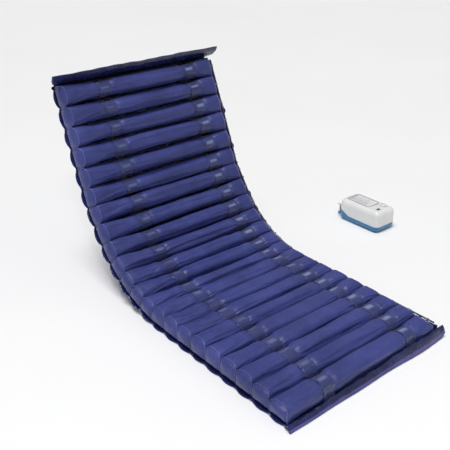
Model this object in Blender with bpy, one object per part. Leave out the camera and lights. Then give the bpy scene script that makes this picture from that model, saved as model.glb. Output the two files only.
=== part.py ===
"""Pressure relief mattress: an alternating-pressure overlay of 22 tubular air cells on a
folding base sheet, drawn with its back section raised, and its air pump.

Frame: metres, +Z up, +Y towards the head end, +X across the mattress.
The origin is the centre of the underside of the foot section, which lies flat on the bed.
"""
import math

import bmesh
import bpy
from mathutils import Matrix, Vector

for ob in list(bpy.data.objects):
    bpy.data.objects.remove(ob, do_unlink=True)

# ---------------------------------------------------------------- driving dimensions
CELLS = 22
LENGTH = 1.900                      # length over the 22 air cells, laid flat
PITCH = LENGTH / CELLS
X_LEFT = -0.425                     # left and right ends of the air cells
X_RIGHT = 0.405
SHEET_HALF = 0.430                  # the base sheet runs from -0.43 to +0.43
SHEET_T = 0.0015
SHEET_GAP = 0.0005                  # to the fold line, on each side
CELL_TOP = 0.0920                   # crest above the underside of the base sheet
CELL_BOTTOM = SHEET_T + 0.0003
WALL = 0.0016                       # coated fabric and its welds, as one thickness
HALF_FLAT = 0.0410                  # half-width of a cell in the flat section
HALF_BEND = 0.0350                  # half-width where the mattress folds
STRAP_W = 0.058
STRAP_T = 0.0010
STRAP_OFF = 0.00055
STRAP_X = (-0.183, 0.270)           # centres of the two columns of loops
LINE_X = 0.4175                     # the two air lines run down the right side
LINE_Z = (0.038, 0.056)
LINE_R = 0.0035
TEE_R = 0.0050
TEE_L = 0.0140
LINE_BORE = 0.0018
NIPPLE_R = 0.0034
NIPPLE_BORE = 0.0018
FOOT_FLAP = 0.036                   # base sheet beyond the last cell, foot end
HEAD_FLAP = 0.024                   # base sheet beyond the first cell, head end, before it turns up
HEAD_RISE = 0.100                   # height of the turned-up flap along the first cell

# sections from the foot: name, number of cells, angle of the section above the bed
SECTIONS = (
    ("foot", 9, 0.0),
    ("bend_1", 1, 11.0),
    ("bend_2", 1, 18.5),
    ("bend_3", 1, 29.0),
    ("bend_4", 1, 38.0),
    ("bend_5", 1, 46.5),
    ("bend_6", 2, 54.5),
    ("head", 6, 67.0),
)
MAX_OVER_REST = 75.0 / 67.0         # the back section rises to 75 degrees
FOOT_Y = -SECTIONS[0][1] * PITCH / 2

# pump: length along Y, width along X
PUMP_X, PUMP_Y = 0.997, 0.455
PUMP_L, PUMP_W, PUMP_TOP = 0.260, 0.145, 0.110
PUMP_BASE = 0.004
PUMP_WALL = 0.0025
CORNER_BACK, CORNER_FRONT = 0.038, 0.028
DIAL = (0.030, -0.078)
SWITCH = (-0.026, -0.092)
OUTLETS = ((-0.018, 0.030), (0.004, 0.030))
GLAND = (0.0215, 0.030)
HOOK_X = (-0.045, 0.045)
HOOK_AXIS = (0.1365, 0.022)
FEET = ((-0.048, -0.100), (0.048, -0.100), (-0.042, 0.098), (0.042, 0.098))


# ---------------------------------------------------------------- helpers
def material(name, rgb, rough, metal=0.0):
    m = bpy.data.materials.new(name)
    m.use_nodes = True
    b = m.node_tree.nodes["Principled BSDF"]
    b.inputs["Base Color"].default_value = (*rgb, 1.0)
    b.inputs["Roughness"].default_value = rough
    b.inputs["Metallic"].default_value = metal
    return m


MAT = {
    "cell": ((0.075, 0.078, 0.29), 0.42, 0.0),
    "sheet": ((0.012, 0.013, 0.055), 0.22, 0.0),
    "strap": ((0.085, 0.10, 0.20), 0.35, 0.0),
    "tube": ((0.05, 0.055, 0.11), 0.30, 0.0),
    "white": ((0.86, 0.86, 0.86), 0.22, 0.0),
    "blue": ((0.02, 0.18, 0.38), 0.30, 0.0),
    "label": ((0.80, 0.80, 0.81), 0.45, 0.0),
    "green": ((0.0, 0.16, 0.07), 0.30, 0.0),
    "grey": ((0.25, 0.26, 0.27), 0.45, 0.0),
    "black": ((0.02, 0.02, 0.02), 0.60, 0.0),
    "steel": ((0.60, 0.60, 0.61), 0.30, 1.0),
    "board": ((0.02, 0.16, 0.08), 0.50, 0.0),
}


def empty(name, parent=None, loc=(0, 0, 0), rot_x=0.0, rot_y=0.0):
    e = bpy.data.objects.new(name, None)
    bpy.context.collection.objects.link(e)
    e.parent = parent
    e.location = loc
    e.rotation_euler = (rot_x, rot_y, 0.0)
    return e


def add(name, bm, mat, parent=None, loc=(0, 0, 0), smooth=35.0):
    bmesh.ops.recalc_face_normals(bm, faces=bm.faces)
    me = bpy.data.meshes.new(name)
    bm.to_mesh(me)
    bm.free()
    if smooth:
        me.shade_smooth()
        me.set_sharp_from_angle(angle=math.radians(smooth))
    ob = bpy.data.objects.new(name, me)
    rgb, rough, metal = MAT[mat]
    me.materials.append(material(name + "_material", rgb, rough, metal))
    bpy.context.collection.objects.link(ob)
    ob.parent = parent
    ob.location = loc
    return ob


def loft(bm, rings, cap_start=True, cap_end=True, closed=False):
    """Joins rings of equally many points. With closed, the last ring joins the first."""
    vs = [[bm.verts.new(p) for p in ring] for ring in rings]
    n = len(vs[0])
    pairs = list(zip(vs, vs[1:]))
    if closed:
        pairs.append((vs[-1], vs[0]))
    for a, b in pairs:
        for i in range(n):
            j = (i + 1) % n
            bm.faces.new((a[i], a[j], b[j], b[i]))
    if cap_start and not closed:
        bm.faces.new(vs[0][::-1])
    if cap_end and not closed:
        bm.faces.new(vs[-1])


def prism(bm, pts, u0, u1, place):
    """A polygon of (p, q) points pushed from u0 to u1; place maps (u, p, q) to a point."""
    loft(bm, [[place(u, p, q) for p, q in pts] for u in (u0, u1)])


def box(bm, lo, hi):
    pts = [(lo[0], lo[1]), (hi[0], lo[1]), (hi[0], hi[1]), (lo[0], hi[1])]
    prism(bm, pts, lo[2], hi[2], lambda u, p, q: (p, q, u))


def circle(r, n, phase=0.0):
    return [(r * math.cos(2 * math.pi * i / n + phase), r * math.sin(2 * math.pi * i / n + phase)) for i in range(n)]


def turned(bm, profile, n, place, closed=False):
    """A profile of (radius, distance along the axis), turned about the axis."""
    rings = [[place(u, p, q) for p, q in circle(r, n)] for r, u in profile]
    loft(bm, rings, closed=closed)


def along_y(x, z):
    return lambda u, p, q: (x + p, u, z + q)


def along_z(x, y):
    return lambda u, p, q: (x + p, y + q, u)


def shape(ob, bm, name, operation):
    """Joins a closed shape to an object, or cuts it away, with an exact Boolean."""
    bmesh.ops.recalc_face_normals(bm, faces=bm.faces)
    me = bpy.data.meshes.new(name)
    bm.to_mesh(me)
    bm.free()
    other = bpy.data.objects.new(name, me)
    bpy.context.collection.objects.link(other)
    other.parent = ob.parent
    other.location = ob.location
    other.hide_render = True
    other.display_type = "WIRE"
    m = ob.modifiers.new(name, "BOOLEAN")
    m.operation = operation
    m.solver = "EXACT"
    m.object = other


def join(ob, bm, name):
    shape(ob, bm, name, "UNION")


def cut_away(ob, bm, name):
    shape(ob, bm, name, "DIFFERENCE")


# ---------------------------------------------------------------- mattress pieces
CELL_MID = (CELL_TOP + CELL_BOTTOM) / 2
CELL_B = (CELL_TOP - CELL_BOTTOM) / 2 / math.cos(math.radians(18))


def cell_ring(x, a, b, mid=CELL_MID):
    return [(x, a * math.cos(math.radians(36 * k)), mid + b * math.sin(math.radians(36 * k))) for k in range(10)]


def small_ring(x, r, z):
    return [(x, r * math.cos(math.radians(36 * k)), z + r * math.sin(math.radians(36 * k))) for k in range(10)]


def air_cell(name, half, line, parent, loc):
    """An inflated tube: one wall thick, hollow, and open through the nipple at its right end."""
    bm = bmesh.new()
    z = LINE_Z[line]
    tip = LINE_X - LINE_R - 0.0004 - (TEE_R - LINE_R)
    dome = ((0.0, 0.40), (0.011, 0.80), (0.034, 1.0))
    rings = [cell_ring(X_LEFT + d, half * s, CELL_B * s) for d, s in dome]
    rings += [cell_ring(X_RIGHT - d, half * s, CELL_B * s) for d, s in reversed(dome)]
    rings += [small_ring(X_RIGHT, NIPPLE_R, z), small_ring(tip, NIPPLE_R, z), small_ring(tip, NIPPLE_BORE, z)]
    a, b = half - WALL * 1.05, CELL_B - WALL * 1.05
    inner = ((0.002, 0.37), (0.013, 0.79), (0.035, 1.0))
    rings += [small_ring(X_RIGHT - 0.002, NIPPLE_BORE, z)]
    rings += [cell_ring(X_RIGHT - d, a * s, b * s) for d, s in inner]
    rings += [cell_ring(X_LEFT + d, a * s, b * s) for d, s in reversed(inner)]
    loft(bm, rings)
    return add(name, bm, "cell", parent, loc, smooth=40.0)


def strap_arch(bm, x0, x1, half, y_mid):
    """A band of fabric over one cell, its ends sewn into the base sheet in the grooves beside it."""
    def path(g):
        a, b = half + g, CELL_B + g
        pts = [(a, SHEET_T / 2), (a, CELL_MID)]
        pts += [(a * math.cos(math.radians(k)), CELL_MID + b * math.sin(math.radians(k))) for k in (36, 72, 108, 144)]
        pts += [(-a, CELL_MID), (-a, SHEET_T / 2)]
        return pts
    outer, inner = path(STRAP_OFF + STRAP_T), path(STRAP_OFF)
    rings = []
    for (po, qo), (pi, qi) in zip(outer, inner):
        rings.append([(x0, y_mid + po, qo), (x1, y_mid + po, qo), (x1, y_mid + pi, qi), (x0, y_mid + pi, qi)])
    loft(bm, rings)


def air_line(bm, y0, y1, z, tees):
    """A hose along Y with a thicker tee sleeve at each cell that it feeds, bored right through."""
    prof = [(LINE_R, y0)]
    for t in tees:
        prof += [(LINE_R, t - TEE_L / 2), (TEE_R, t - TEE_L / 2), (TEE_R, t + TEE_L / 2), (LINE_R, t + TEE_L / 2)]
    prof += [(LINE_R, y1), (LINE_BORE, y1), (LINE_BORE, y0)]
    rings = []
    for r, u in prof:
        rr = r / math.cos(math.radians(30)) if r > LINE_BORE else r
        rings.append([(LINE_X + rr * math.cos(math.radians(30 + 60 * k)), u, z + rr * math.sin(math.radians(30 + 60 * k))) for k in range(6)])
    loft(bm, rings, closed=True)


# ---------------------------------------------------------------- mattress
parent = None
start = Vector((0.0, FOOT_Y, 0.0))
before = 0.0
cell = CELLS
for s, (section, count, angle) in enumerate(SECTIONS):
    if s == 0:
        frame = empty("foot_section_frame", None, start)
        along = 0.0
    else:
        # the fold line lies in the underside of the base sheet
        frame = empty(section + "_fold", parent, (0.0, along, 0.0), math.radians(angle - before))
    length = count * PITCH
    last = s == len(SECTIONS) - 1

    bm = bmesh.new()
    y0 = -FOOT_FLAP if s == 0 else SHEET_GAP
    y1 = length + HEAD_FLAP if last else length - SHEET_GAP
    if last:
        # beyond the first cell the sheet turns up beside it, as a flap along the head end
        lean = y1 - 0.012
        pts = [(y0, 0.0), (lean, 0.0), (lean + 0.004, 0.004), (y1, HEAD_RISE), (y1 - SHEET_T, HEAD_RISE), (lean + 0.002, 0.006), (lean - 0.002, SHEET_T), (y0, SHEET_T)]
        prism(bm, pts, -SHEET_HALF, SHEET_HALF, lambda u, p, q: (u, p, q))
    else:
        box(bm, (-SHEET_HALF, y0, 0.0), (SHEET_HALF, y1, SHEET_T))
    sheet = add("base_sheet_" + section, bm, "sheet", frame)

    straps = bmesh.new()
    tees = ([], [])
    for k in range(count):
        half, shift = (HALF_FLAT, 0.0) if s == 0 else (HALF_BEND, 0.0)
        if s == 0 and k == 0:
            half, shift = 0.0385, 0.0020
        if s == 0 and k == count - 1:
            half, shift = 0.0384, -0.0025
        mid = (k + 0.5) * PITCH + shift
        line = cell % 2
        air_cell("air_cell_%02d" % cell, half, line, frame, (0.0, mid, 0.0))
        tees[line].append(mid)
        for x in STRAP_X:
            strap_arch(straps, x - STRAP_W / 2, x + STRAP_W / 2, half, mid)
        cell -= 1
    join(sheet, straps, "cell_loops_" + section)

    # two air lines, held one above the other by a clip at each cell
    tubes = []
    for line, z in enumerate(LINE_Z):
        cut = (z + TEE_R) * math.tan(math.radians(7.0)) + 0.0006
        a = 0.012 if s == 0 else cut
        b = length - 0.012 if last else length - cut
        bm = bmesh.new()
        air_line(bm, a, b, z, tees[line])
        tubes.append(bm)
    lines = add("air_lines_" + section, tubes[0], "tube", frame)
    join(lines, tubes[1], "air_line_b_" + section)
    clips = bmesh.new()
    for t in tees[0] + tees[1]:
        box(clips, (LINE_X - 0.0012, t - 0.0030, LINE_Z[0] + LINE_BORE + 0.0005), (LINE_X + 0.0012, t + 0.0030, LINE_Z[1] - LINE_BORE - 0.0005))
    join(lines, clips, "air_line_clips_" + section)

    parent, before, along = frame, angle, length


# ---------------------------------------------------------------- pump
pump = empty("pump_frame", None, (PUMP_X, PUMP_Y, 0.0))
HL, HW = PUMP_L / 2, PUMP_W / 2
SWEEP = (0.050, 0.111)              # where the joint between the shells rises
PART_LOW, PART_HIGH = 0.031, 0.053


def parting(y):
    t = min(1.0, max(0.0, (y - SWEEP[0]) / (SWEEP[1] - SWEEP[0])))
    return PART_LOW + (PART_HIGH - PART_LOW) * t * t * (3 - 2 * t)


def outline():
    """Points and outward normals of the case in plan, anticlockwise."""
    pts = []

    def arc(cx, cy, r, a0):
        for i in range(5):
            t = math.radians(a0 + 90 * i / 4)
            pts.append((cx + r * math.cos(t), cy + r * math.sin(t), math.cos(t), math.sin(t)))
    arc(HW - CORNER_FRONT, -HL + CORNER_FRONT, CORNER_FRONT, -90)
    for y in (0.050, 0.065, 0.080):
        pts.append((HW, y, 1.0, 0.0))
    arc(HW - CORNER_BACK, HL - CORNER_BACK, CORNER_BACK, 0)
    arc(-HW + CORNER_BACK, HL - CORNER_BACK, CORNER_BACK, 90)
    for y in (0.080, 0.065, 0.050):
        pts.append((-HW, y, -1.0, 0.0))
    arc(-HW + CORNER_FRONT, -HL + CORNER_FRONT, CORNER_FRONT, 180)
    return pts


PLAN = outline()


def case_ring(inset, z):
    return [(x - nx * inset, y - ny * inset, z if z is not None else parting(y)) for x, y, nx, ny in PLAN]


def rim(inset, dz):
    return [(x - nx * inset, y - ny * inset, parting(y) + dz) for x, y, nx, ny in PLAN]


# upper shell: a lid with soft edges, cut for the dial's shaft and the switch
bm = bmesh.new()
outer = [rim(0.0, 0.0004), case_ring(0.0015, 0.085), case_ring(0.006, 0.098), case_ring(0.014, 0.106), case_ring(0.026, PUMP_TOP)]
inner = [rim(PUMP_WALL, 0.0004), case_ring(0.004, 0.085), case_ring(0.0085, 0.0955), case_ring(0.0165, 0.1035), case_ring(0.026, PUMP_TOP - PUMP_WALL)]
loft(bm, list(reversed(outer)) + inner)
upper = add("pump_upper_shell", bm, "white", pump)
bm = bmesh.new()
turned(bm, ((0.0043, 0.100), (0.0043, 0.115)), 12, along_z(*DIAL))
box(bm, (SWITCH[0] - 0.0114, SWITCH[1] - 0.0078, 0.100), (SWITCH[0] + 0.0114, SWITCH[1] + 0.0078, 0.115))
cut_away(upper, bm, "pump_upper_holes")

# lower shell: a tub with ears for the hooks, cut for the screws, outlets and mains gland
bm = bmesh.new()
outer = [rim(0.0, 0.0), case_ring(0.002, 0.018), case_ring(0.005, 0.008), case_ring(0.012, PUMP_BASE)]
inner = [rim(PUMP_WALL, 0.0), case_ring(0.0045, 0.018), case_ring(0.0075, 0.0105), case_ring(0.013, PUMP_BASE + PUMP_WALL)]
loft(bm, list(reversed(outer)) + inner)
lower = add("pump_lower_shell", bm, "blue", pump)
bm = bmesh.new()
for hx in HOOK_X:
    for side in (-1, 1):
        x = hx + side * 0.0105
        pts = [(HL - 0.0040 - 0.0008, 0.0165), (HL + 0.0100, 0.0165), (HL + 0.0115, 0.0195), (HL + 0.0115, 0.0250), (HL + 0.0090, 0.0280), (HL - 0.0036 - 0.0008, 0.0300)]
        if abs(x) > HW - CORNER_BACK:
            pts = [(p - (0.0062 if p < HL else 0.0), q) for p, q in pts]
        prism(bm, pts, x - 0.0020, x + 0.0020, lambda u, p, q: (u, p, q))
join(lower, bm, "pump_hook_ears")
bm = bmesh.new()
for x, y in FEET:
    turned(bm, ((0.0022, 0.0), (0.0022, 0.0120)), 8, along_z(x, y))
for x, z in OUTLETS:
    turned(bm, ((0.0044, HL - 0.012), (0.0044, HL + 0.006)), 12, along_y(x, z))
turned(bm, ((0.0064, HL - 0.012), (0.0064, HL + 0.006)), 12, along_y(*GLAND))
cut_away(lower, bm, "pump_lower_holes")
bm = bmesh.new()
for hx in HOOK_X:
    rings = [[(x, HOOK_AXIS[0] + p, HOOK_AXIS[1] + q) for p, q in circle(0.0027, 12)] for x in (hx - 0.0135, hx + 0.0135)]
    loft(bm, rings)
cut_away(lower, bm, "pump_hook_bores")

# label panel on the lid: rounded rectangle, narrower at the back
bm = bmesh.new()
LP_LO, LP_HI, LP_W, LP_R = -0.048, 0.100, 0.046, 0.012
pts = []
for cx, cy, a0 in ((LP_W - LP_R, LP_LO + LP_R, -90), (LP_W - LP_R, LP_HI - LP_R, 0), (-LP_W + LP_R, LP_HI - LP_R, 90), (-LP_W + LP_R, LP_LO + LP_R, 180)):
    for i in range(5):
        t = math.radians(a0 + 90 * i / 4)
        pts.append((cx + LP_R * math.cos(t), cy + LP_R * math.sin(t)))
prism(bm, pts, PUMP_TOP + 0.0003, PUMP_TOP + 0.0010, lambda u, p, q: (p, q, u))
add("pump_label_panel", bm, "label", pump)

# pressure dial: cap and shaft, with a raised pointer
dial = empty("pump_dial_axis", pump, (DIAL[0], DIAL[1], PUMP_TOP))
bm = bmesh.new()
turned(bm, ((0.0039, -0.012), (0.0039, 0.0004), (0.0170, 0.0004), (0.0170, 0.0060), (0.0155, 0.0078)), 20, along_z(0, 0))
knob = add("pump_pressure_dial", bm, "white", dial)
bm = bmesh.new()
box(bm, (-0.0008, 0.0040, 0.0070), (0.0008, 0.0145, 0.0090))
join(knob, bm, "pump_dial_pointer")

# power switch: a rocker that tilts about Y; it rests with its left end pressed
switch = empty("pump_switch_axis", pump, (SWITCH[0], SWITCH[1], PUMP_TOP - 0.0010), 0.0, math.radians(-7.0))
bm = bmesh.new()
pts = [(-0.0088, -0.0070), (0.0088, -0.0070), (0.0105, -0.0010), (0.0105, 0.0030), (0.0, 0.0018), (-0.0105, 0.0030), (-0.0105, -0.0010)]
prism(bm, pts, -0.0072, 0.0072, lambda u, p, q: (p, u, q))
add("pump_power_switch", bm, "green", switch)

# hanging hooks: each swings on a barrel between two ears of the lower shell
for name, hx in (("left", HOOK_X[0]), ("right", HOOK_X[1])):
    axis = empty("pump_hook_axis_" + name, pump, (hx, HOOK_AXIS[0], HOOK_AXIS[1]))
    bm = bmesh.new()
    pts = [(-0.0016, -0.0040), (0.0018, -0.0040), (0.0018, 0.0426), (0.0122, 0.0426), (0.0122, 0.0380), (0.0154, 0.0380), (0.0154, 0.0460), (-0.0016, 0.0460)]
    prism(bm, pts, -0.0070, 0.0070, lambda u, p, q: (u, p, q))
    arm = add("pump_hook_" + name, bm, "grey", axis)
    bm = bmesh.new()
    loft(bm, [[(x, p, q) for p, q in circle(0.0024, 12)] for x in (-0.0124, 0.0124)])
    join(arm, bm, "pump_hook_barrel_" + name)

# air outlets: two barbed nozzles on one plate against the case, bored through
(xa, za), (xb, zb) = OUTLETS
bm = bmesh.new()
box(bm, (xa - 0.0080, HL + 0.0004, za - 0.0080), (xb + 0.0080, HL + 0.0024, zb + 0.0080))
outlets = add("pump_air_outlets", bm, "grey", pump)
bm = bmesh.new()
for x, z in OUTLETS:
    prof = [(0.0040, HL - 0.008), (0.0040, HL + 0.0034), (0.0052, HL + 0.0080), (0.0038, HL + 0.0081), (0.0048, HL + 0.0140), (0.0036, HL + 0.0170)]
    turned(bm, prof, 10, along_y(x, z))
join(outlets, bm, "pump_nozzles")
bm = bmesh.new()
for x, z in OUTLETS:
    turned(bm, ((0.0021, HL - 0.012), (0.0021, HL + 0.020)), 10, along_y(x, z))
cut_away(outlets, bm, "pump_nozzle_bores")

# mains gland: a bush with a through hole
bm = bmesh.new()
prof = [(0.0060, HL - 0.008), (0.0060, HL + 0.0004), (0.0085, HL + 0.0004), (0.0085, HL + 0.0030), (0.0062, HL + 0.0040),
        (0.0055, HL + 0.0120), (0.0026, HL + 0.0120), (0.0026, HL - 0.008)]
turned(bm, prof, 12, along_y(*GLAND), closed=True)
add("pump_mains_gland", bm, "black", pump)

# feet and the case screws inside them
for i, (x, y) in enumerate(FEET):
    bm = bmesh.new()
    turned(bm, ((0.0090, 0.0), (0.0090, 0.0037), (0.0050, 0.0037), (0.0050, 0.0)), 12, along_z(0, 0), closed=True)
    add("pump_foot_%d" % (i + 1), bm, "black", pump, (x, y, 0.0))
    bm = bmesh.new()
    turned(bm, ((0.0038, 0.0014), (0.0038, 0.0037), (0.0018, 0.0037), (0.0018, 0.0160)), 8, along_z(0, 0))
    add("pump_screw_%d" % (i + 1), bm, "steel", pump, (x, y, 0.0))

# inside: compressor, air distributor with its motor, circuit board
bm = bmesh.new()
box(bm, (-0.052, 0.005, 0.0100), (0.020, 0.075, 0.0480))
bmesh.ops.bevel(bm, geom=[e for e in bm.edges], offset=0.004, segments=1, affect="EDGES")
add("pump_compressor", bm, "grey", pump)
bm = bmesh.new()
turned(bm, ((0.0200, 0.0100), (0.0200, 0.0300), (0.0120, 0.0300), (0.0120, 0.0400)), 16, along_z(0.030, -0.036))
add("pump_air_distributor", bm, "grey", pump)
bm = bmesh.new()
box(bm, (-0.052, -0.070, 0.0120), (-0.002, -0.006, 0.0136))
add("pump_circuit_board", bm, "board", pump, smooth=0)
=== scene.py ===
import math

import bmesh
import bpy
import numpy as np
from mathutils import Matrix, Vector


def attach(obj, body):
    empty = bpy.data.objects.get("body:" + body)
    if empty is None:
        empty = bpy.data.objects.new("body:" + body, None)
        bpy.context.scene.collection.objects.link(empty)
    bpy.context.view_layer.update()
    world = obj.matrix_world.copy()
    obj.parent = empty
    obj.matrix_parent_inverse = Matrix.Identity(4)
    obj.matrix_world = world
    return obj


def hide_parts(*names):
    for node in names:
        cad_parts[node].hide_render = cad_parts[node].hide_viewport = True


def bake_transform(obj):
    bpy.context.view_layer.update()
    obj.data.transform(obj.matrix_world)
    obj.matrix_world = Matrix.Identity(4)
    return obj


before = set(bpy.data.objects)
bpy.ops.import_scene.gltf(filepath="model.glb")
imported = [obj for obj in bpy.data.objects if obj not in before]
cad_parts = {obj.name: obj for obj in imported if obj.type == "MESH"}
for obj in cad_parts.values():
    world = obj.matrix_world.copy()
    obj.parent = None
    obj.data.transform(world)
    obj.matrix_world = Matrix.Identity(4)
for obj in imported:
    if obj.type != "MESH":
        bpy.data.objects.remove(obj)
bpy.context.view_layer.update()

# ---------------------------------------------------------------- the frame's own numbers, in metres
PITCH = 1.900 / 22
X_LEFT, X_RIGHT = -0.425, 0.405
SHEET_HALF = 0.430
CELL_BOTTOM, CELL_TOP = 0.0018, 0.0920
HALF_FLAT, HALF_BEND = 0.0424, 0.0362
STRAP_X, STRAP_W = (-0.183, 0.270), 0.058
LINE_X, LINE_Z, LINE_R = 0.4175, (0.038, 0.056), 0.0035
FOOT_FLAP, HEAD_FLAP = 0.036, 0.045
SECTIONS = (("foot", 9, 0.0), ("bend_1", 1, 11.0), ("bend_2", 1, 18.5), ("bend_3", 1, 29.0), ("bend_4", 1, 38.0), ("bend_5", 1, 46.5), ("bend_6", 2, 54.5), ("head", 6, 67.0))
BODY = {"foot": "foot_section", "head": "head_section", **{f"bend_{i}": f"bend_{i}_section" for i in range(1, 7)}}
FOOT_Y = -9 * PITCH / 2
PUMP = (0.997, 0.455)


class Section:
    pass


SEC = []
_s, _o, _prev = 0.0, np.array([FOOT_Y, 0.0]), 0.0
for _name, _count, _angle in SECTIONS:
    q = Section()
    q.name, q.count, q.angle, q.s0, q.s1, q.origin = _name, _count, math.radians(_angle), _s, _s + _count * PITCH, _o.copy()
    q.body = BODY[_name]
    SEC.append(q)
    _o = _o + q.count * PITCH * np.array([math.cos(q.angle), math.sin(q.angle)])
    _s = q.s1


def place(sec, x, s, h):
    """Flat mattress coordinates (across, along from the foot edge, height) to world points, rigid with one section."""
    c, n = math.cos(sec.angle), math.sin(sec.angle)
    d = np.asarray(s, float) - sec.s0
    h = np.asarray(h, float)
    return np.stack([np.broadcast_to(x, d.shape).astype(float), sec.origin[0] + d * c - h * n, sec.origin[1] + d * n + h * c], -1)


def bent(x, s, h):
    """The same, turning smoothly at each fold between the middles of the cells on its two sides."""
    x, s, h = np.broadcast_arrays(np.asarray(x, float), np.asarray(s, float), np.asarray(h, float))
    out = place(SEC[0], x, s, h)
    for a, b in zip(SEC, SEC[1:]):
        lo, hi = a.s1 - PITCH / 2, b.s0 + PITCH / 2
        t = np.clip((s - lo) / (hi - lo), 0, 1)
        ang = a.angle + t * t * (3 - 2 * t) * (b.angle - a.angle)
        d = s - b.s0
        y = b.origin[0] + d * np.cos(ang) - h * np.sin(ang)
        z = b.origin[1] + d * np.sin(ang) + h * np.cos(ang)
        use = s > lo
        out[..., 1] = np.where(use, y, out[..., 1])
        out[..., 2] = np.where(use, z, out[..., 2])
    return out


def smooth(t):
    t = np.clip(t, 0, 1)
    return t * t * (3 - 2 * t)


class Waves:
    """Smooth seeded noise: a sum of random waves. fold() is its creased form, from 0 to 1."""

    def __init__(self, seed, kx, ky, n=14):
        r = np.random.default_rng(seed)
        a = r.uniform(0, 2 * np.pi, n)
        m = r.uniform(0.45, 1.5, n)
        self.k = np.stack([np.cos(a) * m * kx, np.sin(a) * m * ky], 1)
        self.p = r.uniform(0, 2 * np.pi, n)
        self.a = r.uniform(0.5, 1.0, n) / math.sqrt(n) * 1.6

    def __call__(self, x, y):
        v = 0.0
        for (kx, ky), p, a in zip(self.k, self.p, self.a):
            v = v + a * np.sin(kx * x + ky * y + p)
        return v

    def fold(self, x, y):
        return np.clip(1 - np.abs(self(x, y)) * 1.15, 0, 1)


# ---------------------------------------------------------------- camera
cam = bpy.data.objects.new("camera", bpy.data.cameras.new("camera"))
bpy.context.collection.objects.link(cam)
az, el, dist = math.radians(-39.91), math.radians(26.37), 3.163
target = Vector((0.0763, 0.4873, 0.2614))
back = Vector((math.sin(az) * math.cos(el), -math.cos(az) * math.cos(el), math.sin(el)))
cam.location = target + back * dist
cam.rotation_mode = "QUATERNION"
cam.rotation_quaternion = (-back).to_track_quat("-Z", "Y")
cam.data.sensor_width = 36
cam.data.lens = 58.54
bpy.context.scene.camera = cam


# ---------------------------------------------------------------- materials
def new_material(name):
    m = bpy.data.materials.new(name)
    m.use_nodes = True
    nt = m.node_tree
    return m, nt, nt.nodes["Principled BSDF"]


def node(nt, kind, **values):
    n = nt.nodes.new(kind)
    for k, v in values.items():
        if k in n.inputs:
            n.inputs[k].default_value = v
        else:
            setattr(n, k, v)
    return n


def noise(nt, coord, scale, detail=4.0, rough=0.55, stretch=(1, 1, 1)):
    m = node(nt, "ShaderNodeMapping")
    m.inputs["Scale"].default_value = stretch
    nt.links.new(coord, m.inputs["Vector"])
    n = node(nt, "ShaderNodeTexNoise", Scale=scale, Detail=detail, Roughness=rough)
    nt.links.new(m.outputs["Vector"], n.inputs["Vector"])
    return n.outputs["Fac"]


def ramp(nt, fac, stops):
    r = node(nt, "ShaderNodeValToRGB")
    e = r.color_ramp.elements
    e[0].position, e[0].color = stops[0][0], (*stops[0][1], 1)
    e[1].position, e[1].color = stops[-1][0], (*stops[-1][1], 1)
    for p, c in stops[1:-1]:
        k = e.new(p)
        k.color = (*c, 1)
    nt.links.new(fac, r.inputs["Fac"])
    return r.outputs["Color"]


def to_range(nt, fac, lo, hi, a=0.3, b=0.7):
    r = node(nt, "ShaderNodeMapRange")
    r.inputs["From Min"].default_value, r.inputs["From Max"].default_value = a, b
    r.inputs["To Min"].default_value, r.inputs["To Max"].default_value = lo, hi
    nt.links.new(fac, r.inputs["Value"])
    return r.outputs["Result"]


def bump(nt, height, strength, distance, below=None):
    b = node(nt, "ShaderNodeBump", Strength=strength, Distance=distance)
    nt.links.new(height, b.inputs["Height"])
    if below is not None:
        nt.links.new(below, b.inputs["Normal"])
    return b.outputs["Normal"]


def weave(nt, coord, per_metre):
    """Height of a plain weave: two sets of threads crossing."""
    outs = []
    for axis in ("X", "Z"):
        w = node(nt, "ShaderNodeTexWave", wave_type="BANDS", bands_direction=axis, Scale=per_metre / 2.0)
        nt.links.new(coord, w.inputs["Vector"])
        outs.append(w.outputs["Fac"])
    m = node(nt, "ShaderNodeMath", operation="MAXIMUM")
    nt.links.new(outs[0], m.inputs[0])
    nt.links.new(outs[1], m.inputs[1])
    return m.outputs[0]


def coated_fabric(name, dark, mid, light, rough=(0.34, 0.50), crinkle=0.25, coat=0.15, coat_rough=0.25, sheen=0.15, wrinkle_stretch=(1, 1, 1)):
    m, nt, b = new_material(name)
    c = node(nt, "ShaderNodeTexCoord").outputs["Object"]
    big = noise(nt, c, 7.0, 5.0, 0.6)
    fine = noise(nt, c, 90.0, 4.0, 0.6)
    mix = node(nt, "ShaderNodeMath", operation="MULTIPLY_ADD")
    mix.inputs[1].default_value = 0.35
    nt.links.new(fine, mix.inputs[0])
    nt.links.new(big, mix.inputs[2])
    nt.links.new(ramp(nt, mix.outputs[0], ((0.50, dark), (0.68, mid), (0.88, light))), b.inputs["Base Color"])
    nt.links.new(to_range(nt, noise(nt, c, 22.0, 3.0), *rough), b.inputs["Roughness"])
    b.inputs["Coat Weight"].default_value = coat
    b.inputs["Coat Roughness"].default_value = coat_rough
    b.inputs["Sheen Weight"].default_value = sheen
    b.inputs["Sheen Roughness"].default_value = 0.5
    n = bump(nt, noise(nt, c, 34.0, 5.0, 0.62, wrinkle_stretch), crinkle, 0.004)
    n = bump(nt, noise(nt, c, 150.0, 3.0, 0.6, wrinkle_stretch), crinkle * 0.6, 0.0008, n)
    n = bump(nt, weave(nt, c, 1100.0), 0.12, 0.00012, n)
    nt.links.new(n, b.inputs["Normal"])
    return m


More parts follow.
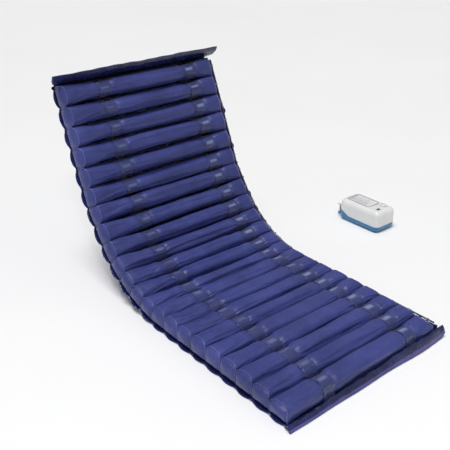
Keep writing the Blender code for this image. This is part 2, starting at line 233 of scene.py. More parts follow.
def plastic(name, rgb, rough=(0.24, 0.34), coat=0.2, grain=0.05, wear=0.06):
    m, nt, b = new_material(name)
    c = node(nt, "ShaderNodeTexCoord").outputs["Object"]
    v = noise(nt, c, 18.0, 4.0)
    dark = tuple(x * (1 - wear) for x in rgb)
    nt.links.new(ramp(nt, v, ((0.35, dark), (0.65, rgb))), b.inputs["Base Color"])
    nt.links.new(to_range(nt, noise(nt, c, 60.0, 4.0), *rough), b.inputs["Roughness"])
    b.inputs["Coat Weight"].default_value = coat
    b.inputs["Coat Roughness"].default_value = 0.12
    n = bump(nt, noise(nt, c, 900.0, 2.0), grain, 0.0002)
    nt.links.new(bump(nt, noise(nt, c, 9.0, 2.0), 0.04, 0.002, n), b.inputs["Normal"])
    return m


def metal(name, rgb, rough=(0.25, 0.4)):
    m, nt, b = new_material(name)
    c = node(nt, "ShaderNodeTexCoord").outputs["Object"]
    v = noise(nt, c, 60.0, 4.0, 0.6, (1, 1, 8))
    nt.links.new(ramp(nt, v, ((0.35, tuple(x * 0.8 for x in rgb)), (0.65, rgb))), b.inputs["Base Color"])
    nt.links.new(to_range(nt, v, *rough), b.inputs["Roughness"])
    b.inputs["Metallic"].default_value = 1.0
    nt.links.new(bump(nt, noise(nt, c, 300.0, 3.0), 0.1, 0.0002), b.inputs["Normal"])
    return m


M_CELL = coated_fabric("cell_fabric", (0.022, 0.031, 0.150), (0.030, 0.041, 0.190), (0.041, 0.053, 0.235), rough=(0.42, 0.56), crinkle=0.34, coat=0.02, coat_rough=0.35, sheen=0.05, wrinkle_stretch=(0.45, 1, 1))
M_WELD = coated_fabric("weld_bead", (0.050, 0.056, 0.235), (0.068, 0.075, 0.285), (0.090, 0.098, 0.340), rough=(0.30, 0.40), crinkle=0.1, coat=0.15)
M_SHEET = coated_fabric("sheet_fabric", (0.013, 0.016, 0.085), (0.019, 0.023, 0.120), (0.028, 0.034, 0.165), rough=(0.14, 0.28), crinkle=0.60, coat=0.6, coat_rough=0.08, sheen=0.0)
# painted shade: a darker copy of the sheet cloth, for the ruck beside the last cell and the flap turned up beside the
# first, where the cloth lies in shade
M_FLAP_SHADE = coated_fabric("flap_painted_shade", (0.006, 0.008, 0.042), (0.011, 0.014, 0.068), (0.024, 0.030, 0.135), rough=(0.20, 0.36), crinkle=0.85, coat=0.35, coat_rough=0.10, sheen=0.0, wrinkle_stretch=(1.0, 0.45, 0.45))
M_HEM = coated_fabric("hem_tape", (0.045, 0.043, 0.18), (0.065, 0.062, 0.23), (0.095, 0.09, 0.30), rough=(0.28, 0.4), crinkle=0.3)
M_UNDER = coated_fabric("sheet_underside", (0.032, 0.033, 0.14), (0.045, 0.046, 0.18), (0.062, 0.063, 0.23), rough=(0.26, 0.38), crinkle=0.35, coat=0.3)
M_STRAP = coated_fabric("loop_fabric", (0.020, 0.027, 0.115), (0.027, 0.036, 0.145), (0.037, 0.048, 0.185), rough=(0.30, 0.42), crinkle=0.5, coat=0.15, coat_rough=0.2)
# painted highlight: a pale blue-grey patch is mixed into the loop colour by a point attribute, broken up by fine noise,
# standing for the shine over each loop's crest
_nt = M_STRAP.node_tree
_b = _nt.nodes["Principled BSDF"]
_at = node(_nt, "ShaderNodeAttribute", attribute_name="crest_highlight_paint")
_mx = node(_nt, "ShaderNodeMix", data_type="RGBA")
_gr = noise(_nt, node(_nt, "ShaderNodeTexCoord").outputs["Object"], 260.0, 4.0, 0.65, (1, 1, 1))
_mul = node(_nt, "ShaderNodeMath", operation="MULTIPLY")
_nt.links.new(_at.outputs["Fac"], _mul.inputs[0])
_nt.links.new(to_range(_nt, _gr, 0.55, 1.0), _mul.inputs[1])
_nt.links.new(_mul.outputs[0], _mx.inputs["Factor"])
_nt.links.new(_b.inputs["Base Color"].links[0].from_socket, _mx.inputs["A"])
_mx.inputs["B"].default_value = (0.20, 0.25, 0.46, 1)
_nt.links.new(_mx.outputs["Result"], _b.inputs["Base Color"])
M_HOSE = plastic("hose_pvc", (0.050, 0.055, 0.110), rough=(0.20, 0.30), coat=0.4)
M_WHITE = plastic("case_white", (0.80, 0.80, 0.80), rough=(0.20, 0.28), coat=0.4)
M_BLUE = plastic("case_blue", (0.012, 0.185, 0.40), rough=(0.26, 0.36), coat=0.25)
M_LABEL = plastic("label_film", (0.74, 0.74, 0.75), rough=(0.32, 0.42), coat=0.1)
M_INK = plastic("print_grey", (0.09, 0.09, 0.10), rough=(0.45, 0.55), coat=0.0)
M_INK_LIGHT = plastic("print_light_grey", (0.36, 0.36, 0.38), rough=(0.45, 0.55), coat=0.0)
M_DIAL = plastic("dial_white", (0.76, 0.76, 0.76), rough=(0.22, 0.30), coat=0.35)
M_GREEN = plastic("switch_green", (0.003, 0.16, 0.075), rough=(0.18, 0.26), coat=0.4)
M_GREY = plastic("grey_plastic", (0.24, 0.25, 0.26), rough=(0.38, 0.5), coat=0.05, grain=0.15)
# painted shade: a near-black plastic for the recess round the rocker
M_GAP_SHADE = plastic("switch_gap_painted_shade", (0.03, 0.03, 0.035), rough=(0.5, 0.6), coat=0.0)
M_RUBBER = plastic("black_rubber", (0.018, 0.018, 0.018), rough=(0.6, 0.75), coat=0.0, grain=0.2)
M_STEEL = metal("screw_steel", (0.60, 0.60, 0.61))
M_CAST = metal("compressor_cast", (0.48, 0.48, 0.50), rough=(0.4, 0.55))
M_BOARD = plastic("board_green", (0.01, 0.13, 0.06), rough=(0.3, 0.4))


# ---------------------------------------------------------------- mesh helpers
def make(name, verts, faces, mats, face_mats=None, sharp=None):
    me = bpy.data.meshes.new(name)
    me.from_pydata([tuple(v) for v in verts], [], faces)
    for m in mats:
        me.materials.append(m)
    if face_mats is not None:
        me.polygons.foreach_set("material_index", face_mats)
    me.validate()
    me.update()
    me.shade_smooth()
    if sharp:
        me.set_sharp_from_angle(angle=math.radians(sharp))
    ob = bpy.data.objects.new(name, me)
    bpy.context.collection.objects.link(ob)
    return ob


def grid_faces(nu, nv, wrap_v=False, base=0, flip=False):
    i = np.arange(nu - 1)[:, None]
    j = np.arange(nv if wrap_v else nv - 1)[None, :]
    a = base + i * nv + j
    b = base + i * nv + (j + 1) % nv
    c = base + (i + 1) * nv + (j + 1) % nv
    d = base + (i + 1) * nv + j
    f = np.stack([a, b, c, d] if flip else [a, d, c, b], -1).reshape(-1, 4)
    return f.tolist()


def solidify(ob, t, offset=-1.0):
    m = ob.modifiers.new("thickness", "SOLIDIFY")
    m.thickness = t
    m.offset = offset
    m.use_even_offset = False
    return m


# ---------------------------------------------------------------- air cells
END = 0.0150                       # depth of the bulged end panel outside its seam
NV = 60
DISC = np.array([0.05, 0.16, 0.30, 0.44, 0.58, 0.71, 0.82, 0.90, 0.96])
TUBE = np.concatenate([np.array([0.0, 0.0008, 0.0020, 0.0038, 0.0062, 0.0095, 0.0140, 0.0190, 0.0245, 0.0305]) + END, np.linspace(0.0520, (X_RIGHT - X_LEFT) / 2, 66)])
XS = np.concatenate([X_LEFT + TUBE, (X_RIGHT - TUBE)[::-1][1:]])
NT, ND = len(XS), len(DISC)
TH = np.linspace(0, 2 * np.pi, NV, endpoint=False)
FOLD_UP = 75.0 / 67.0


def fold_tan(s):
    """Tangent of half the sharpest angle at the groove at s, where two cells lean on each other."""
    for a, b in zip(SEC, SEC[1:]):
        if abs(s - a.s1) < 1e-6:
            return math.tan((b.angle - a.angle) * FOLD_UP / 2)
    return 0.0


cells = {}
_num = 22
for _sec in SEC:
    for _k in range(_sec.count):
        cells[_num] = (_sec, _sec.s0 + (_k + 0.5) * PITCH)
        _num -= 1


class Cell:
    """Sizes of one cell, all a little different from the next."""

    def __init__(self, num):
        r = np.random.default_rng(4000 + num)
        self.num = num
        self.flat = num >= 14
        self.half = (HALF_FLAT if self.flat else HALF_BEND) + r.uniform(-0.0008, 0.0008)
        self.end = 0.0445
        self.n = 2.75 if self.flat else 2.20
        self.shift = {22: -0.0010, 14: -0.0015}.get(num, 0.0)
        self.top = CELL_TOP + r.uniform(-0.0018, 0.0018) + (0.0045 if num == 17 else 0.0)
        self.top -= {22: 0.0165, 21: 0.0055}.get(num, 0.0)
        self.draw = 0.018 + 0.015 * (22 - num) / 21
        self.pinch = r.uniform(0.090, 0.125) if self.flat else r.uniform(0.075, 0.11)
        self.bow = r.uniform(-0.0012, 0.0012)
        sec, mid = cells[num]
        self.tan_lo, self.tan_hi = fold_tan(mid - PITCH / 2), fold_tan(mid + PITCH / 2)


CELL = {n: Cell(n) for n in cells}


def tube(c, x, th, pinch=True):
    """Skin of cell c at x round th as (y from the cell's middle, height), without wrinkles."""
    x, th = np.broadcast_arrays(np.asarray(x, float), np.asarray(th, float))
    d = np.minimum(x - X_LEFT, X_RIGHT - x)
    e = 1 - smooth((d - 0.018) / (0.150 if not c.flat else 0.090))
    half = c.half + (c.end - c.half) * e
    n = c.n + (3.1 - c.n) * e
    top = c.top - 0.0035 * (1 - smooth(d / 0.060)) + 0.0015 * e
    half = half + 0.0010 * np.sin(7.0 * x + c.num * 2.1) * (1 - e)
    top = top + 0.0010 * np.sin(9.0 * x + c.num * 1.3)
    if pinch:
        for i, xs in enumerate(STRAP_X):
            t = np.abs(x - xs)
            q = 1 - smooth((t - 0.018) / 0.040)
            half = half * (1 - c.pinch * q)
            top = top - 0.0055 * (1 - smooth((t - 0.024) / 0.020)) + 0.0015 * np.exp(-(((t - 0.055) / 0.020) ** 2))
    b = (top - CELL_BOTTOM) / 2
    mid = CELL_BOTTOM + b
    cs, sn = np.cos(th), np.sin(th)
    p = 2.0 / n
    y = half * np.sign(cs) * np.abs(cs) ** p
    z = mid + b * np.sign(sn) * np.abs(sn) ** np.where(sn < 0, p * 0.75, p)
    return y + c.shift + c.bow * np.sin(4.2 * x + c.num), z


def seam_depth(th):
    """How far in from the end the seam runs: a little at the sides, more over the crest, most underneath."""
    s = np.sin(th)
    return 0.0120 + 0.0150 * np.clip(s, 0, 1) ** 2 + 0.0260 * np.clip(-s, 0, 1) ** 1.4


def tube_x(x, th):
    """Moves a ring's points along the tube so that the first ring lies on the seam."""
    d = np.minimum(x - X_LEFT, X_RIGHT - x)
    sgn = np.where(x - X_LEFT < X_RIGHT - x, 1.0, -1.0)
    return x + sgn * (seam_depth(th) - END) * np.exp(-np.clip(d - END, 0, 1) / 0.035)


def drawn_in(c, x):
    """The left end of a filled tube is drawn in from where it would lie flat, more towards the head."""
    return x + c.draw * np.clip((-0.225 - x) / 0.200, 0, 1.2)


def keep_apart(c, y, z):
    """Neighbours touch and flatten against each other, never cross: each side stops at the groove's middle plane."""
    hi = PITCH / 2 - np.maximum(z, 0) * c.tan_hi - 0.00025
    lo = -(PITCH / 2 - np.maximum(z, 0) * c.tan_lo - 0.00025)
    if c.num == 22:
        lo = np.full_like(z, -0.0475)
    if c.num == 1:
        hi = np.full_like(z, 0.0475)
    # a soft stop over the last 3 mm
    k = 0.003
    y = np.where(y > hi - k, hi - k + k * np.tanh((y - hi + k) / k), y)
    return np.where(y < lo + k, lo + k - k * np.tanh((lo + k - y) / k), y)


def simulate_wrinkles(seed):
    """How a welded tube creases when its loops and end seams draw it in under pressure: distance out of the smooth skin
    at each point of the grid, in metres. A cloth tube with air pressure, whose rings at the loops and seams are pulled
    to their waist while it runs."""
    rng = np.random.default_rng(seed)
    c = CELL[5]
    x = np.repeat(XS, NV).reshape(NT, NV)
    th = np.tile(TH, (NT, 1))
    y1, z1 = tube(c, x, th)
    y0, z0 = tube(c, x, th, pinch=False)
    zc = (CELL_BOTTOM + c.top) / 2
    y0, z0 = y0 * 1.03, zc + (z0 - zc) * 1.03
    jitter = Waves(seed + 7, 60, 5)(x, th) * 0.0004 + rng.normal(0, 0.00012, x.shape)
    y0, z0 = y0 + jitter * np.cos(th), z0 + jitter * np.sin(th)
    verts = np.stack([x, y0, z0], -1).reshape(-1, 3)
    faces = grid_faces(NT, NV, True)
    faces += [[(NT - 1) * NV + j for j in range(NV)], [j for j in range(NV)][::-1]]
    ob = make(f"sim_{seed}", verts, faces, [])
    ob.shape_key_add(name="Basis")
    key = ob.shape_key_add(name="drawn")
    key.data.foreach_set("co", np.stack([x, y1, z1], -1).reshape(-1))
    d = np.minimum(x - X_LEFT, X_RIGHT - x)
    pin = d < END + 0.0012
    for xs in STRAP_X:
        pin |= np.abs(x - xs) < STRAP_W / 2 - 0.001
    g = ob.vertex_groups.new(name="pin")
    g.add(np.nonzero(pin.ravel())[0].tolist(), 1.0, "ADD")
    key.value = 0.0
    key.keyframe_insert("value", frame=1)
    key.value = 1.0
    key.keyframe_insert("value", frame=9)
    mod = ob.modifiers.new("cloth", "CLOTH")
    st = mod.settings
    st.quality = 4
    st.mass = 0.25
    st.tension_stiffness = 25
    st.compression_stiffness = 25
    st.shear_stiffness = 12
    st.bending_stiffness = 0.15
    st.air_damping = 3
    st.vertex_group_mass = "pin"
    st.use_pressure = True
    st.uniform_pressure_force = 3.5
    st.effector_weights.gravity = 0.0
    mod.collision_settings.use_collision = False
    sc = bpy.context.scene
    for f in range(1, 17):
        sc.frame_set(f)
    ev = ob.evaluated_get(bpy.context.evaluated_depsgraph_get())
    co = np.zeros(len(ev.data.vertices) * 3)
    ev.data.vertices.foreach_get("co", co)
    co = co.reshape(NT, NV, 3)
    out = np.cos(th) * (co[..., 1] - y1) + np.sin(th) * (co[..., 2] - z1)
    bpy.data.objects.remove(ob)
    sc.frame_set(1)
    out = np.clip(np.nan_to_num(out), -0.006, 0.006)
    # keep the wrinkles, not the overall swelling
    k = 8
    pad = np.pad(out, ((0, 0), (k, k)), mode="wrap")
    mean = np.mean([pad[:, i:i + NV] for i in range(2 * k + 1)], axis=0)
    return out - mean * 0.85


TEMPLATES = []
for i in range(2):
    TEMPLATES.append(simulate_wrinkles(100 + i))


def cell_skin(num, x, th, extra=0.0, rough=True):
    """Skin of one cell with its own wrinkles, as (y from the cell's middle, height)."""
    c = CELL[num]
    x, th = np.broadcast_arrays(np.asarray(x, float), np.asarray(th, float))
    y, z = tube(c, x, th)
    d = np.minimum(x - X_LEFT, X_RIGHT - x)
    out = Waves(700 + num, 26, 2.4)(x, th) * 0.0008
    # soft lengthwise dents, as in a tube that isn't pumped quite tight
    out = out - Waves(800 + num, 9, 2.0).fold(x, th) ** 3 * 0.0022 * smooth((d - 0.02) / 0.03)
    # gathers at the end seams and beside each loop
    t = np.clip(d - END, 0, 1)
    k = 13 + num % 4
    out = out + np.exp(-t / 0.024) * 0.0013 * (0.6 * np.sin(k * th + 30 * t + num) + 0.4 * np.sin((k + 8) * th - 20 * t + 2 * num)) * smooth(t / 0.006)
    for i, xs in enumerate(STRAP_X):
        t = np.abs(x - xs) - STRAP_W / 2 + 0.004
        k = 14 + (num + i) % 5
        out = out + np.where(t > 0, np.exp(-np.clip(t, 0, 1) / 0.022), 0.0) * 0.0011 * np.sin(k * th + num * 1.7 + i + 20 * t)
    if rough and TEMPLATES and x.shape == (NT, NV):
        out = out + np.roll(TEMPLATES[num % len(TEMPLATES)], (num * 11) % NV, axis=1) * 0.9
    out = out * np.where(np.sin(th) < -0.75, 0.3, 1.0) + extra
    y, z = y + out * np.cos(th), z + out * np.sin(th)
    y = keep_apart(c, y, z)
    return y, np.maximum(z, CELL_BOTTOM)


def end_panel(num, side, th):
    """Rings of the rounded panel that closes one end, from its nose to its rim: x, y, height. Its nose is high up, and
    below that it tucks in to the sheet."""
    c = CELL[num]
    xe = (X_LEFT, X_RIGHT)[side]
    sgn = (1, -1)[side]
    yr, zr = cell_skin(num, np.full_like(th, xe + sgn * END), th, rough=False)
    depth = seam_depth(th)
    r = np.random.default_rng(5000 + 2 * num + side)
    zc = 0.056 + r.uniform(-0.004, 0.004)
    k1, k2, p1, p2 = r.integers(7, 10), r.integers(12, 16), r.uniform(0, 6), r.uniform(0, 6)
    xs, ys, zs = [], [], []
    for rho in DISC:
        y = c.shift + (yr - c.shift) * rho
        z = zc + (zr - zc) * rho
        off = 0.0015 + (depth - 0.0015) * rho ** 2.3
        off = off + 0.0030 * np.exp(-(((rho - 0.93) / 0.05) ** 2))
        off = off + 0.0022 * rho ** 2 * (1 - rho) ** 0.6 * 1.6 * (0.6 * np.sin(k1 * th + p1) + 0.4 * np.sin(k2 * th + p2))
        xs.append(xe + sgn * off)
        ys.append(y)
        zs.append(np.maximum(z, CELL_BOTTOM))
    return np.array(xs), np.array(ys), np.array(zs)


def ring_tube(pts, normals, r, sides=8):
    """A thin bead along a closed loop of points."""
    pts = np.asarray(pts)
    n = len(pts)
    tan = np.roll(pts, -1, 0) - np.roll(pts, 1, 0)
    tan /= np.linalg.norm(tan, axis=1)[:, None]
    nrm = np.asarray(normals)
    nrm = nrm - (nrm * tan).sum(1)[:, None] * tan
    nrm /= np.linalg.norm(nrm, axis=1)[:, None]
    bi = np.cross(tan, nrm)
    a = np.linspace(0, 2 * np.pi, sides, endpoint=False)
    v = pts[:, None, :] + r * (0.75 * np.cos(a)[None, :, None] * nrm[:, None, :] + 1.25 * np.sin(a)[None, :, None] * bi[:, None, :])
    faces = []
    for i in range(n):
        for j in range(sides):
            i2, j2 = (i + 1) % n, (j + 1) % sides
            faces.append([i * sides + j, i2 * sides + j, i2 * sides + j2, i * sides + j2])
    return v.reshape(-1, 3), faces


for num, (sec, mid) in cells.items():
    c = CELL[num]
    x = np.repeat(XS, NV).reshape(NT, NV)
    th = np.tile(TH, (NT, 1))
    y, z = cell_skin(num, x, th)
    lx, ly, lz = end_panel(num, 0, TH)
    rx, ry, rz = end_panel(num, 1, TH)
    X = drawn_in(c, np.vstack([lx, tube_x(x, th), rx[::-1]]))
    Y = np.vstack([ly, y, ry[::-1]])
    Z = np.vstack([lz, z, rz[::-1]])
    verts = place(sec, X, mid + Y, Z).reshape(-1, 3)
    nr = len(X)
    faces = grid_faces(nr, NV, True)
    n0 = len(verts)
    verts = np.vstack([verts, verts[:NV].mean(0), verts[(nr - 1) * NV:nr * NV].mean(0)])
    for j in range(NV):
        j2 = (j + 1) % NV
        faces.append([j2, j, n0])
        faces.append([(nr - 1) * NV + j, (nr - 1) * NV + j2, n0 + 1])
    mats = [0] * len(faces)
    # the weld bead round each end seam
    for xe in (X_LEFT + END, X_RIGHT - END):
        tt = np.linspace(0, 2 * np.pi, 96, endpoint=False)
        xx = np.full(96, xe)
        yb, zb = cell_skin(num, xx, tt, rough=False)
        xx = drawn_in(c, tube_x(xx, tt))
        p = np.stack([xx, yb, zb], -1)
        v, f = ring_tube(p, p - np.stack([xx, np.full(96, c.shift), np.full(96, 0.045)], -1), 0.0017)
        vz = np.maximum(v[:, 2], CELL_BOTTOM)
        top_hi = (0.0480 if c.num == 1 else PITCH / 2) - vz * c.tan_hi - 0.0003
        top_lo = -(0.0480 if c.num == 22 else PITCH / 2) + vz * c.tan_lo + 0.0003
        v = place(sec, v[:, 0], mid + np.clip(v[:, 1], top_lo, top_hi), vz).reshape(-1, 3)
        o = len(verts)
        verts = np.vstack([verts, v])
        faces += [[o + i for i in g] for g in f]
        mats += [1] * len(f)
    # the air nipple on the right-hand end
    zl = LINE_Z[num % 2]
    prof = [(X_RIGHT - 0.012, 0.0034), (X_RIGHT - 0.001, 0.0034), (X_RIGHT + 0.0005, 0.0044), (X_RIGHT + 0.0025, 0.0044), (X_RIGHT + 0.0035, 0.0034), (0.4119, 0.0032), (0.4119, 0.0019), (X_RIGHT, 0.0019)]
    a = np.linspace(0, 2 * np.pi, 16, endpoint=False)
    o = len(verts)
    for xp, rp in prof:
        verts = np.vstack([verts, place(sec, np.full(16, xp), mid + c.shift + rp * np.cos(a), zl + rp * np.sin(a))])
    f = grid_faces(len(prof), 16, True, o)
    faces += f
    mats += [2] * len(f)
    ob = make("cell_%02d" % num, verts, faces, [M_CELL, M_WELD, M_HOSE], mats)
    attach(ob, sec.body)
    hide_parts("air_cell_%02d" % num)

# ---------------------------------------------------------------- base sheet
GAPS = Waves(11, 55, 120, 20)
GAPS2 = Waves(12, 150, 230, 20)
EDGE = Waves(13, 28, 30, 12)
FLAPS = Waves(14, 20, 60, 14)
FLAPS2 = Waves(15, 60, 40, 16)
HEAD_PATH = 0.120                  # cloth beyond the first cell, turned up beside it
FOOT_PATH = 0.070                  # cloth beyond the last cell, standing up beside it and down again


def sheet_point(x, s):
    """World points of the sheet's upper face for x across it and s along the cloth."""
    x, s = np.broadcast_arrays(np.asarray(x, float), np.asarray(s, float))
    end = 22 * PITCH
    u = x / SHEET_HALF
    a = np.abs(u)
    # under the cells: flat, gathered up into the grooves, crumpled in the wide ones
    g = np.abs((s / PITCH + 0.5) % 1.0 - 0.5) * PITCH
    groove = np.exp(-((g / 0.012) ** 2))
    raised = smooth((s - 8.6 * PITCH) / (1.2 * PITCH))
    inside = smooth((s + 0.002) / 0.01) * smooth((end + 0.002 - s) / 0.01)
    h = 0.0012 + groove * inside * (0.0030 + 0.0045 * raised)
    h = h + (GAPS.fold(x, s) ** 2 * 0.0065 + GAPS2.fold(x, s) ** 2 * 0.0028) * groove * inside * (0.45 + 0.85 * raised)
    side = smooth((a - 0.90) / 0.10)
    h = h + side * (0.0020 + 0.0015 * EDGE(x, s)) * inside
    half = np.where(x > 0, 0.4285 - 0.0008 * inside * (1 + np.cos(2 * np.pi * s / PITCH)), 0.4010 - 0.0150 * np.clip(s / end, 0, 1) - 0.003 * np.cos(2 * np.pi * s / PITCH) * inside)
    # the right-hand edge stands up outside the air lines
    h = h + 0.040 * np.clip((u - 0.955) / 0.045, 0, 1) ** 3 * (1 + 0.10 * EDGE(x, s)) * smooth((s + 0.020) / 0.02) * smooth((end + 0.002 - s) / 0.02)
    ss = s.copy()
    # foot: the cloth stands up in a slack ruck beside the last cell, taller to the right, and its edge lies on the bed
    f = np.clip(-s / FOOT_PATH, 0, 1)
    tall = 0.017 + 0.020 * smooth((x + 0.30) / 0.65) + 0.008 * smooth((x - 0.33) / 0.09) + 0.0030 * FLAPS(x, 0 * s)
    out = 0.0330 + 0.0030 * FLAPS(x + 3, 0 * s)
    pf = np.array([0.0, 0.10, 0.28, 0.45, 0.60, 0.78, 0.90, 1.0])
    po = np.array([0.0, 0.10, 0.12, 0.20, 0.42, 0.74, 0.90, 1.0])
    pt = np.array([0.0, 0.04, 0.55, 0.96, 1.00, 0.48, 0.12, 0.04])
    ss = np.where(s < 0, -out * np.interp(f, pf, po), ss)
    h = np.where(s < 0, 0.0014 + tall * np.interp(f, pf, pt) + 0.0055 * FLAPS2.fold(x + s * 2.0, s) ** 2 * np.interp(f, [0, 0.2, 0.6, 0.9, 1], [0, 0.4, 1, 0.4, 0.1]), h)
    h = np.where((s < 0) & (x > 0), h + 0.016 * smooth((x - 0.408) / 0.022) * smooth((f - 0.45) / 0.4), h)
    half = half + (s < 0) * smooth(f * 2) * np.where(x > 0, 0.014, 0.006)
    # head: the cloth turns up beside the first cell, to above its crest
    t = np.clip((s - end) / HEAD_PATH, 0, 1)
    px = np.array([0.0, 0.05, 0.13, 0.29, 0.56, 0.81, 1.0])
    ps = np.array([0.0, 0.0055, 0.0080, 0.0085, 0.0100, 0.0235, 0.0385])
    ph = np.array([0.0015, 0.0030, 0.0120, 0.0300, 0.0600, 0.0860, 0.0990])
    wave = 0.0016 * FLAPS(x, 0 * s) + 0.0010 * FLAPS2(x, s * 0.3)
    ss = np.where(s > end, end + np.interp(t, px, ps) + wave * smooth(t * 2) * 0.6, ss)
    corner = smooth((a - 0.975) / 0.025) ** 2 * 0.004
    h = np.where(s > end, np.interp(t, px, ph) + (0.0015 * FLAPS(x + 5, 0 * s) - corner) * smooth(t * 1.5), h)
    half = half + (s > end) * (smooth((t - 0.25) / 0.55) * np.where(x > 0, 0.026, 0.030) - smooth(t * 4) * np.where(x > 0, 0.012, 0.002))
    return bent(u * half, ss, np.maximum(h, 0.0010))


def sheet_piece(name, s0, s1, body, other=None, nodes=(), nx=173, step=0.0042):
    ny = max(3, int(round((s1 - s0) / step)) + 1)
    xs = np.unique(np.concatenate([np.linspace(-SHEET_HALF, SHEET_HALF, nx), SHEET_HALF - np.array([0.0012, 0.0025, 0.0037, 0.0062, 0.0075, 0.0088, 0.0112, 0.0137])]))
    nx = len(xs)
    ss = np.linspace(s0, s1, ny)
    S, X = np.meshgrid(ss, xs, indexing="ij")
    v = sheet_point(X, S).reshape(-1, 3)
    ob = make(name, v, grid_faces(ny, nx, flip=True), [M_SHEET, M_UNDER, M_FLAP_SHADE, M_UNDER])
    # the cloth beyond the end cells takes the darker copy of the sheet cloth: painted shade on the foot ruck and on the
    # turned-up head flap
    if s0 < 0 or s1 > 22 * PITCH:
        mid = ((S[:-1] + S[1:]) / 2)[:, :-1]
        flap_shade = np.where(((mid < 0.006) & (mid > -0.80 * FOOT_PATH)) | (mid > 22 * PITCH - 0.006), 2, 0).ravel()
        ob.data.polygons.foreach_set("material_index", flap_shade.astype(np.int32))
    m = solidify(ob, 0.0009, -1.0)
    m.material_offset = 1
    m.material_offset_rim = 1
    if other:
        a, b = other
        tuple(bent(0.0, a.s1 - PITCH / 2, 0.0))
        tuple(bent(0.0, b.s0 + PITCH / 2, 0.0))
        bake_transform(ob)
    else:
        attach(ob, body)
    if nodes:
        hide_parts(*nodes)
    return ob


MID = PITCH / 2
sheet_piece("sheet_foot", -FOOT_PATH, SEC[0].s1 - MID, SEC[0].body, nodes=["base_sheet_foot"])
for a, b in zip(SEC, SEC[1:]):
    nodes = ["base_sheet_" + b.name] if b.name != "head" else []
    sheet_piece("sheet_fold_" + b.name, a.s1 - MID, b.s0 + MID, None, (a, b), nodes)
sheet_piece("sheet_bend_6_middle", SEC[6].s0 + MID, SEC[6].s1 - MID, SEC[6].body)
sheet_piece("sheet_head", SEC[7].s0 + MID, SEC[7].s1 + HEAD_PATH, SEC[7].body, nodes=["base_sheet_head"])


def hem(name, s_edge, sec, mat):
    """A bound edge: a doubled tape round the sheet's cut edge, with two rows of stitches' puckers."""
    xs = np.linspace(-SHEET_HALF, SHEET_HALF, 340)
    sgn = 1 if s_edge < 0 else -1
    cols = []
    for ds in (0.014, 0.0125, 0.009, 0.005, 0.002, 0.0):
        cols.append(sheet_point(xs, np.full_like(xs, s_edge + sgn * ds)))
    c = np.array(cols)
    dx = np.gradient(c, axis=1)
    dc = np.gradient(c, axis=0)
    n = np.cross(dx, dc)
    n /= np.linalg.norm(n, axis=2)[..., None] + 1e-12
    if s_edge < 0:
        n = -n
    if np.mean(n[..., 2]) < 0:
        n = -n
    pk = 0.0003 * np.sin(xs * 900)[None, :, None]
    lift = np.array([0.0004, 0.0009, 0.0010, 0.0010, 0.0009, 0.0006])[:, None, None]
    up = c + n * (lift + pk)
    dn = c - n * (lift + 0.0009 + pk)
    v = np.concatenate([up, dn[::-1]])
    ob = make(name, v.reshape(-1, 3), grid_faces(len(v), 340, flip=s_edge > 0), [mat])
    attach(ob, sec.body)
    return ob


hem("hem_foot", -FOOT_PATH, SEC[0], M_HEM)
# the head hem takes the darker copy of the sheet cloth as well: painted shade
hem("hem_head", 22 * PITCH + HEAD_PATH, SEC[7], M_FLAP_SHADE)

# ---------------------------------------------------------------- cell loops
LOOP_N, LOOP_M = 15, 54


def loop_strip(num, xs_mid):
    """One loop over a cell, as rows of points from the groove on one side to the other, and how much painted highlight
    each point takes over the crest.
    """
    sec, mid = cells[num]
    c = CELL[num]
    r = np.random.default_rng(9000 + num * 3 + (1 if xs_mid > 0 else 0))
    w = STRAP_W / 2 * r.uniform(0.95, 1.03)
    off = r.uniform(-0.004, 0.004)
    xs = xs_mid + off + np.linspace(-w, w, LOOP_N)
    th = np.linspace(-0.02 * np.pi, 1.02 * np.pi, LOOP_M - 12)
    X, T = np.meshgrid(xs, th)
    y, z = cell_skin(num, X, T, extra=0.0008, rough=False)
    wr = Waves(2000 + num, 150, 5)(X, T) * 0.0006 + Waves(2100 + num, 60, 14).fold(X, T) ** 2 * 0.0009
    y, z = y + wr * np.cos(T), z + wr * np.sin(T)
    X = X + 0.0022 * np.sin(3.0 * T + num)
    # both ends drop to the sheet in the groove
    parts = [(X, y, z)]
    for sgn, row in ((1, 0), (-1, -1)):
        yb, zb, xb = y[row], z[row], X[row]
        far = sgn * min(np.abs(yb).max() + 0.0015, PITCH / 2 - 0.0008)
        f = np.linspace(1 / 6, 1, 6)[:, None]
        ys = yb + (far - yb) * f ** 1.5
        zs = zb + (0.0065 - zb) * f
        xx = xb + (xb - xs_mid - off) * (-0.08) * np.sin(np.pi * f)
        if row == 0:
            parts.insert(0, (xx[::-1], ys[::-1], zs[::-1]))
        else:
            parts.append((xx, ys, zs))
    X, Y, Z = (np.vstack([q[i] for q in parts]) for i in range(3))
    v = np.linspace(0, 1, len(X))[:, None]
    u = np.linspace(-1, 1, LOOP_N)[None, :]
    # painted highlight: a pale patch about the middle of the crest, full on the right-hand loops and weaker on the
    # left-hand ones, where less light falls
    at, wide = r.uniform(0.44, 0.52), r.uniform(0.026, 0.045)
    crest_highlight_paint = smooth(1.6 - np.abs(v - at) / wide * 1.2) * smooth((0.95 - np.abs(u - r.uniform(-0.15, 0.15))) / 0.60)
    crest_highlight_paint = crest_highlight_paint * (1.0 if xs_mid > 0 else r.uniform(0.2, 0.6))
    return place(sec, X, mid + Y, Z), crest_highlight_paint + 0 * X


